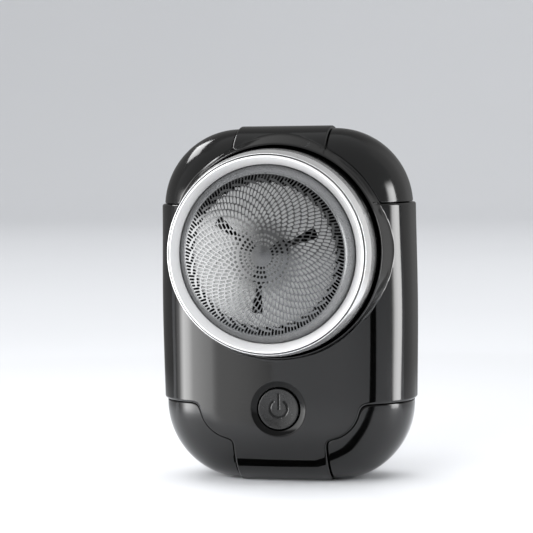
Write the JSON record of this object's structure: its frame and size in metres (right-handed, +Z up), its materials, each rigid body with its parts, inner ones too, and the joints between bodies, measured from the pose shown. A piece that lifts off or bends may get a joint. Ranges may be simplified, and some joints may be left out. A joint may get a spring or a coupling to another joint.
{
  "type": "pocket rotary shaver",
  "caption": "Pocket rotary shaver: a rounded glossy case with recessed corner guards, a domed round foil head in a chromed ring, and a power button below it.",
  "frame": {"origin": "on the flat foot under the case, on the case's middle plane, just behind the charging socket", "axes": "+Z up along the case's height, -Y out of the front through the shaving head, +X to the right seen from the front"},
  "size_m": [0.0478, 0.037, 0.0662],
  "materials": {
    "case_gloss": "polished dark gunmetal",
    "guard_gloss": "polished black",
    "ring_black": "polished black",
    "chrome_trim": "mirror chrome plating",
    "foil_steel": "satin steel",
    "foil_sheet": "thin perforated steel sheet",
    "blade_steel": "ground steel",
    "button_plastic": "fine satin",
    "carrier_plastic": "moulded",
    "white_plastic": "moulded",
    "seal_rubber": "moulded",
    "screw_steel": "zinc-plated",
    "motor_steel": "rolled sheet",
    "magnet": "sintered",
    "plated_magnet": "nickel-plated",
    "copper": "wound wire and sintered bronze",
    "cell_wrap": "shrink sleeve",
    "board": "solder mask",
    "switch_body": "moulded",
    "wire_red": "PVC sleeve",
    "wire_black": "PVC sleeve",
    "light_pipe": "frosted clear"
  },
  "bodies": {
    "housing": {"front_shell": "case_gloss", "rear_shell": "case_gloss", "corner_guard_top_left": "guard_gloss", "corner_guard_top_right": "guard_gloss", "corner_guard_bottom_left": "guard_gloss", "corner_guard_bottom_right": "guard_gloss", "case_seal": "seal_rubber", "case_screws": "screw_steel", "inner_frame": "white_plastic", "frame_screws": "screw_steel", "motor_can": "motor_steel", "motor_magnets": "magnet", "motor_end_cap": "white_plastic", "motor_bush": "copper", "motor_screws": "screw_steel", "shaft_seal": "seal_rubber", "battery_cell": "cell_wrap", "battery_tabs": "plated_magnet", "battery_leads": "wire_red", "motor_leads": "wire_black", "control_board": "board", "board_screws": "screw_steel", "tact_switch": "switch_body", "charge_led": "light_pipe", "charge_light": "light_pipe", "charging_inlet": "screw_steel", "inlet_tongue": "switch_body", "head_magnets": "plated_magnet", "button_seal": "seal_rubber"},
    "rotor": {"motor_shaft": "screw_steel", "motor_armature": "copper", "drive_coupler": "white_plastic", "cutter_spring": "screw_steel"},
    "cutter": {"cutter_carrier": "carrier_plastic", "cutter_blades": "blade_steel"},
    "head": {"head_base_ring": "ring_black", "head_band": "chrome_trim", "head_bezel": "chrome_trim", "foil_cup": "foil_steel", "shaving_foil": "foil_sheet", "foil_retainer": "carrier_plastic", "keeper_ring": "plated_magnet"},
    "power_button": {"button_cap": "button_plastic", "switch_plunger": "switch_body"}
  },
  "joints": [
    {"name": "motor_spin", "type": "hinge", "parent": "housing", "child": "rotor", "pos_m": [0, 0, 0.04335], "axis": [0, -1, 0], "continuous": true},
    {"name": "cutter_float", "type": "slide", "parent": "rotor", "child": "cutter", "axis": [0, 1, 0], "range_m": [0, 0.0006], "stiffness_N_per_m": 250, "springref_m": -0.0012, "deforming": ["cutter_spring"]},
    {"name": "head_release", "type": "slide", "parent": "housing", "child": "head", "axis": [0, -1, 0], "range_m": [0, 0.018]},
    {"name": "button_press", "type": "slide", "parent": "housing", "child": "power_button", "axis": [0, 1, 0], "range_m": [0, 0.0005], "stiffness_N_per_m": 1200, "springref_m": -0.0004}
  ]
}
